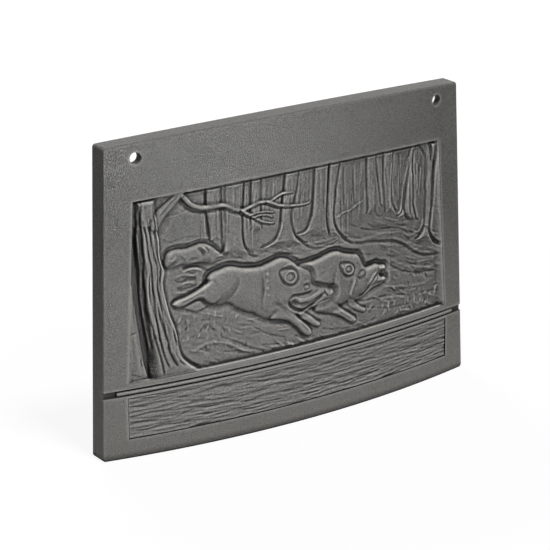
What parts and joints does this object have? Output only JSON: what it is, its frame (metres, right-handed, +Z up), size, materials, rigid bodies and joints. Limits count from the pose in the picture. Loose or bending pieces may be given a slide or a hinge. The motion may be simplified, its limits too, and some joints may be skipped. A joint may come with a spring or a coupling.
{
  "type": "fireback",
  "caption": "Bowed cast-iron fireback plate with a returned rim, a carved woodland hunting scene, a bead moulding, a plank panel below it and bolt holes at its upper corners.",
  "frame": {"origin": "middle of the footprint of the whole plate, on the surface that it stands on", "axes": "+Z up, +X along the width to the right as seen from the front, +Y towards the hollow back; the carved front faces -Y"},
  "size_m": [0.3398, 0.0392, 0.2465],
  "materials": {
    "cast_iron": "fine-grained, dark satin"
  },
  "bodies": {
    "root": {"surround_plate": "cast_iron", "scene_panel": "cast_iron", "plank_panel": "cast_iron", "bead_rod": "cast_iron"}
  },
  "joints": []
}
